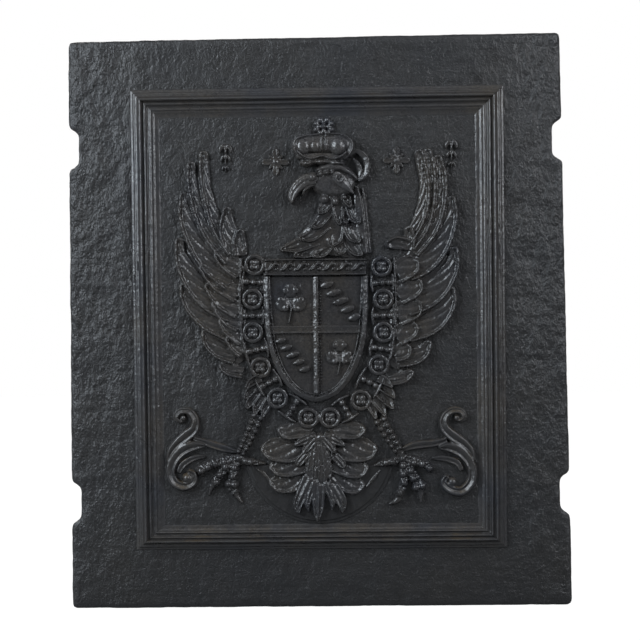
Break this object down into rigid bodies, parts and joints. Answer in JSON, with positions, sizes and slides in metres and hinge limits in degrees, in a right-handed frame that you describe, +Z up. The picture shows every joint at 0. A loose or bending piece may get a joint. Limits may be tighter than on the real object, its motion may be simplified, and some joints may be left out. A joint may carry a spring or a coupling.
{
  "type": "fireback",
  "caption": "Cast-iron hearth plate with a mitred moulding, side notches for wall holdfasts, and a crowned eagle with shield, collar and scrolls in relief.",
  "frame": {"origin": "middle of the bounding box's underside: the foot stands on Z = 0", "axes": "+Z up; the decorated face looks along -Y and the flat back along +Y; +X to the right as seen from the front"},
  "size_m": [0.6009, 0.036, 0.688],
  "materials": {
    "board": "sand-cast skin, blackened and waxed",
    "moulding": "sand-cast skin, blackened, rubbed on the crests",
    "relief": "sand-cast skin, blackened, rubbed on the high points"
  },
  "bodies": {
    "root": {"plate": "board", "moulding_foot": "moulding", "moulding_right": "moulding", "moulding_head": "moulding", "moulding_left": "moulding", "crown_band": "relief", "crown_arches": "relief", "crown_pearls": "relief", "crown_cross": "relief", "eagle_head": "relief", "eagle_beak": "relief", "eagle_eye": "relief", "neck_feathers": "relief", "nape_ribbon": "relief", "wing_left_primaries": "relief", "wing_left_coverts": "relief", "wing_right_primaries": "relief", "wing_right_coverts": "relief", "shield_field": "relief", "shield_rim": "relief", "shield_bars": "relief", "shield_chief": "relief", "shield_charges": "relief", "collar_rings": "relief", "collar_rosettes": "relief", "collar_beads": "relief", "thigh_left": "relief", "thigh_right": "relief", "leg_left": "relief", "leg_right": "relief", "claw_left": "relief", "claw_right": "relief", "tail_lobes": "relief", "tail_plume": "relief", "tail_disc": "relief", "scroll_left": "relief", "scroll_right": "relief", "drop_left": "relief", "flower_left": "relief", "flower_right": "relief", "drop_right": "relief"}
  },
  "joints": []
}
